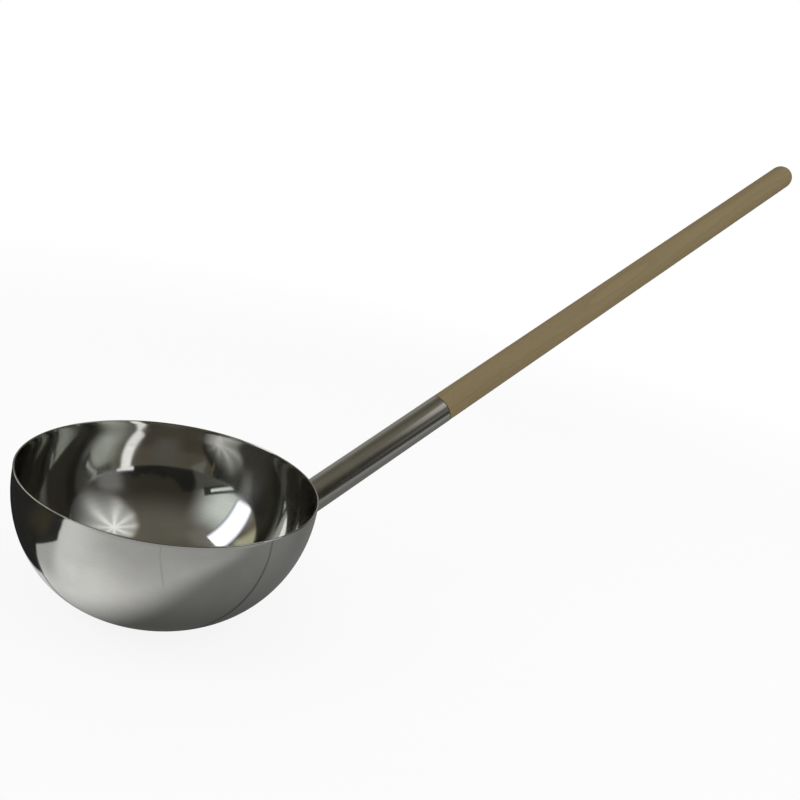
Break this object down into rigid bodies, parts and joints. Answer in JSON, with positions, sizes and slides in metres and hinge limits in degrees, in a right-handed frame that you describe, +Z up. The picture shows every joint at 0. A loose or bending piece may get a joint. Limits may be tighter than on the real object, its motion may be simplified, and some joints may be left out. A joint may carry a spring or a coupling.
{
  "type": "sauna ladle",
  "caption": "Deep round steel ladle bowl with a tube socket welded to its side and a long straight wooden handle, for throwing water on sauna stones.",
  "frame": {"origin": "centre of the flat base that the bowl stands on", "axes": "+Z up, square to the rim; +X the way the handle points; the XZ plane is the plane of symmetry"},
  "size_m": [0.6172, 0.16, 0.3449],
  "materials": {
    "bowl_steel": "mirror-polished stainless sheet with faint polishing lines",
    "tube_steel": "polished stainless tube with fine lengthwise drawing lines",
    "weld_steel": "rippled stainless weld, cleaned, with a faint heat tint",
    "handle_wood": "turned hardwood, matt oiled, grain along the handle",
    "screw_steel": "plain stainless screw"
  },
  "bodies": {
    "root": {"bowl": "bowl_steel", "socket_tube": "tube_steel", "weld_bead": "weld_steel", "wooden_handle": "handle_wood", "fixing_screw": "screw_steel"}
  },
  "joints": []
}
